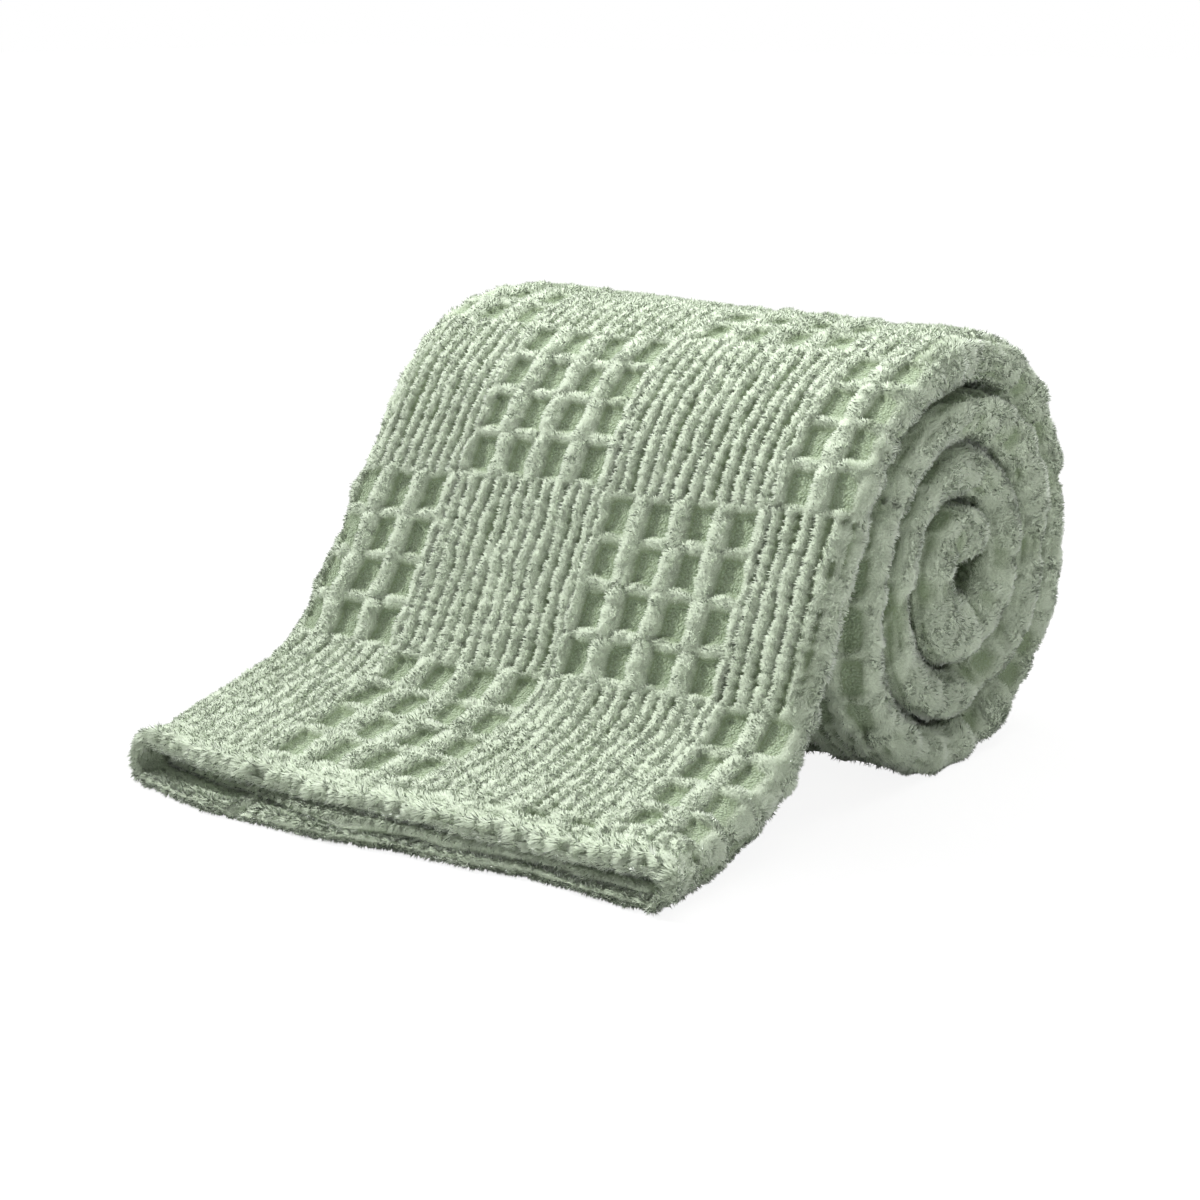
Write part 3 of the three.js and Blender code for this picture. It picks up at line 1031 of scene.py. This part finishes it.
def cloth_material(colours):
    """Pile's greens on the relief, with painted shade where it is low and painted light on its
    crests, and a looped ground in the sunken squares.
    """
    material, maker = new_material("velvet_cloth", colours.root)
    place = maker.node("TexCoord", output=3)
    sunk = maker.values("sunk")
    height = maker.values("height")
    grain, fibre, patch = (
        maker.node("TexNoise", Vector=place, Scale=scale, Detail=detail)
        for scale, detail in ((900, 2), (2600, 1), (38, 2))
    )
    loops = maker.node("TexVoronoi", {"feature": "F1"}, Vector=place, Scale=780)
    # Painted shade and light: the greens go to the roots' colour where the relief is low and to
    # the tips' colour on its crests, with uneven grain and patches
    high = height.ramp(-3.4, -0.4)
    light = (high * 0.8 + (grain - 0.5) * 0.5 + (patch - 0.5) * 0.2).clamped()
    pile = light.blend(colours.root, colours.tip)
    loop_light = (1.25 - loops * 1.5 + (patch - 0.5) * 0.3).clamped()
    ground = loop_light.blend(colours.root, colours.ground)
    paint = sunk.ramp(0.4, 0.8).blend(pile, ground)
    bumps = sunk * (1.0 - loops) * 1.2 + (1.0 - sunk) * grain + fibre * 0.35
    bump = maker.node("Bump", Strength=1, Distance=0.001, Height=bumps)
    shader = maker.node(
        "BsdfPrincipled", Base_Color=paint, Roughness=0.92, Normal=bump,
        Sheen_Weight=0.35, Sheen_Roughness=0.45, Sheen_Tint=(0.86, 0.93, 0.82),
    )
    finish(maker, shader)
    return material


def pile_material(colours):
    """Cut pile in uneven tones, darker at its roots as painted shade and paler at its tips as
    painted light.
    """
    material, maker = new_material("velvet_pile", colours.tip)
    tip = maker.values("tip")
    tone_and_shade = maker.values("tone_and_shade")
    # Painted shade towards the roots and painted light towards the tips, over each strand's tone
    # and painted shade
    shade = (tone_and_shade + (tip - 0.8) * 0.5).clamped()
    paint = shade.blend(colours.root, colours.tip)
    shader = maker.node(
        "BsdfPrincipled", Base_Color=paint, Roughness=0.85,
        Sheen_Weight=1.0, Sheen_Roughness=0.4, Sheen_Tint=(0.95, 1.0, 0.92),
    )
    finish(maker, shader)
    return material


def floor_material(colours):
    """A floor that the camera sees as nearly white, with a faint shadow."""
    material, maker = new_material("stage_floor", colours.floor)
    diffuse = maker.node("BsdfDiffuse", Color=colours.floor)
    glow = maker.node("Emission", Color=WHITE, Strength=1.06)
    camera = maker.node("LightPath", output=0)
    mixed = maker.node("MixShader", in0=camera * FLOOR_GLOW, in1=diffuse, in2=glow)
    finish(maker, mixed)
    return material


# --- operators


def built_net(settings):
    """The cloth's net for these sizes, worked out once."""
    key = tuple(
        round(float(getattr(group, name)), 9)
        for group in (settings.folds, settings.relief)
        for name in type(group).__annotations__
    )
    if built_net.key != key:
        built_net.key, built_net.net = key, lattice(settings.folds, settings.relief)
    return built_net.net


built_net.key = None


def pile_zones(net, folds):
    """The cells that each piece of PILE stands on, weighted by how well they are seen."""
    ring = net.ring
    v = net.v[:-1]
    kinds = (ring.top, ring.curved, ring.side > 0)
    top, arc, near = (np.broadcast_to(kind, v.shape) for kind in kinds)
    far_arc = arc & ~near
    front = v >= PIECES_MEET * MM
    back = v >= SHOWN * MM
    lap = net.path.free + 2 * math.pi * folds.roll_radius
    edge = v < 10 * MM
    x = ring.side * (ring.fold * net.path.flat_edge + ring.past)
    hollow = (x < -70 * MM) & ~top & (v < 45 * MM)
    beside_meeting = ~top & (np.abs(x + folds.meeting) < 12 * MM) & (v < 26 * MM)
    mouth = edge * (1 + 7 * (v < 3.2 * MM) + 2 * (v < 6 * MM)) + 0.5 * (hollow & ~edge & ~arc)
    seen = 0.4 + 0.6 * smooth(net.height[:-1], CREST_FOOT, CREST_TOP)
    seen = seen * (1 - 0.6 * net.sunk[:-1])
    zones = (
        (top | far_arc) & ~edge & ~front,
        top & front & ~back,
        arc & near & ~edge,
        far_arc & front,
        top & back & (v < lap),
        mouth + 2.0 * beside_meeting,
    )
    return [zone * seen for zone in zones]


class THROW_OT_cloth(bpy.types.Operator):
    """Make the folded and rolled cloth with its woven relief"""

    bl_idname = "throw.cloth"
    bl_label = "Make the cloth"

    def execute(self, context):
        settings = context.scene.throw_blanket
        net = built_net(settings)
        cloth = new_object("throw_cloth", cloth_mesh(net))
        cloth.data.materials.append(cloth_material(settings.colours))
        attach(cloth, "root")
        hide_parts(NODE)
        return {"FINISHED"}


class THROW_OT_pile(bpy.types.Operator):
    """Stand the cut pile on the cloth"""

    bl_idname = "throw.pile"
    bl_label = "Stand the pile"

    def execute(self, context):
        settings = context.scene.throw_blanket
        cloth = bpy.data.objects.get("throw_cloth")
        if cloth is None:
            raise RuntimeError("make the cloth first")
        net = built_net(settings)
        material = pile_material(settings.colours)
        zones = pile_zones(net, settings.folds)
        for number, (name, zone) in enumerate(zip(PILE, zones)):
            mesh = pile_mesh(name, net, settings.pile, zone, 100 + 10 * number)
            mesh.materials.append(material)
            piece = new_object(name, mesh)
            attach(piece, "root")
        return {"FINISHED"}


class THROW_OT_stage(bpy.types.Operator):
    """Lay the floor and set the light and the camera"""

    bl_idname = "throw.stage"
    bl_label = "Set the stage"

    def execute(self, context):
        scene = context.scene
        self.floor(scene.throw_blanket.colours)
        self.room(scene)
        for name, (way, strength, softness) in LAMPS.items():
            self.lamp(name, "SUN", Vector(way), strength, angle=math.radians(softness))
        place, target, power, size = SOFTBOX
        way = Vector(place) - Vector(target)
        self.lamp("top", "AREA", way, power, size=size).location = place
        self.camera(scene)
        scene.view_settings.view_transform = "Standard"
        return {"FINISHED"}

    def floor(self, colours):
        half = 12.0
        corners = [(-half, -half, 0), (half, -half, 0), (half, half, 0), (-half, half, 0)]
        mesh = bpy.data.meshes.new("floor")
        mesh.from_pydata(corners, [], [(0, 1, 2, 3)])
        mesh.materials.append(floor_material(colours))
        floor = new_object("floor", mesh)

    def room(self, scene):
        """A white room to the camera and in reflections, which gives little light."""
        world = bpy.data.worlds.new("studio")
        scene.world = world
        world.use_nodes = True
        world.node_tree.nodes.clear()
        maker = Socket(world.node_tree, None)
        camera, glossy, through = (maker.node("LightPath", output=n) for n in (0, 3, 6))
        seen = (camera + glossy + through).clamped()
        strength = seen * (1 - ROOM_LIGHT) + ROOM_LIGHT
        white = maker.node("Background", Color=WHITE, Strength=strength)
        finish(maker, white, "World")

    def camera(self, scene):
        """Seen from the near end's side, a little from above."""
        lens = bpy.data.cameras.new("camera")
        lens.sensor_width = 36
        lens.lens = 69
        lens.clip_end = 20
        camera = bpy.data.objects.new("camera", lens)
        scene.collection.objects.link(camera)
        stand = Matrix.Translation(CAMERA_PLACE)
        for degrees, axis in CAMERA_TURNS:
            stand = stand @ Matrix.Rotation(math.radians(degrees), 4, axis)
        camera.matrix_world = stand
        scene.camera = camera

    def lamp(self, name, kind, way, power, **softness):
        light = bpy.data.lights.new(name, kind)
        light.energy = power
        for key, value in softness.items():
            setattr(light, key, value)
        lamp = bpy.data.objects.new(name, light)
        bpy.context.scene.collection.objects.link(lamp)
        lamp.rotation_euler = way.to_track_quat("Z", "Y").to_euler()
        return lamp


class THROW_PT_panel(bpy.types.Panel):
    """The throw's steps and sizes"""

    bl_label = "Throw blanket"
    bl_space_type = "VIEW_3D"
    bl_region_type = "UI"
    bl_category = "Throw"

    def draw(self, context):
        settings = context.scene.throw_blanket
        for step in STEPS:
            self.layout.operator(step.bl_idname)
        for group in (settings.folds, settings.relief, settings.pile, settings.colours):
            box = self.layout.box()
            for name in type(group).__annotations__:
                box.prop(group, name)


STEPS = (THROW_OT_cloth, THROW_OT_pile, THROW_OT_stage)
CLASSES = (ThrowFolds, ThrowRelief, ThrowPile, ThrowColours, ThrowSettings, *STEPS, THROW_PT_panel)


def register():
    for kind in CLASSES:
        bpy.utils.register_class(kind)
    bpy.types.Scene.throw_blanket = PointerProperty(type=ThrowSettings)


def unregister():
    del bpy.types.Scene.throw_blanket
    for kind in reversed(CLASSES):
        bpy.utils.unregister_class(kind)


def main():
    register()
    bpy.ops.throw.cloth()
    bpy.ops.throw.pile()
    bpy.ops.throw.stage()


if __name__ == "__main__":
    main()
